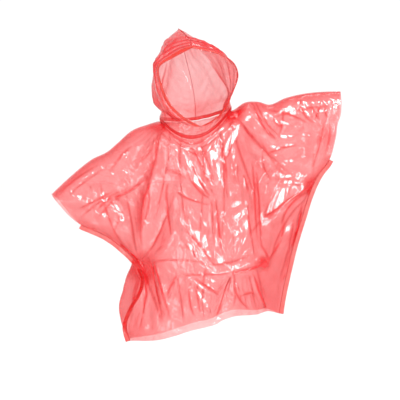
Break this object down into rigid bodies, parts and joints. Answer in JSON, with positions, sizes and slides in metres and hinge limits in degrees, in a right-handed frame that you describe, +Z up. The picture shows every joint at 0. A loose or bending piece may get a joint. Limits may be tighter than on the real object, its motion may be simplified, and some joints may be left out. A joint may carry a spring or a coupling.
{
  "type": "rain poncho",
  "caption": "Small child's hooded rain poncho in thin see-through red film, worn with the hood up and both arms held out.",
  "frame": {"origin": "base of the neck, midway between the shoulders, where the wearer carries the poncho", "axes": "+Z up along the upright head, +X to the right of someone facing the wearer, the front faces -Y"},
  "size_m": [0.7212, 0.2141, 0.7873],
  "materials": {
    "film": "thin blown polyethylene film, see-through red, glossy and crinkled",
    "weld": "two sheets of the film melted together, darker red",
    "brim": "turned and welded double film, orange-red"
  },
  "bodies": {
    "root": {"front_panel": "film", "back_panel": "film", "weld_left": "weld", "weld_right": "weld", "neck_weld": "weld", "hood_left": "film", "hood_right": "film", "brim_left": "brim", "brim_right": "brim"}
  },
  "joints": []
}
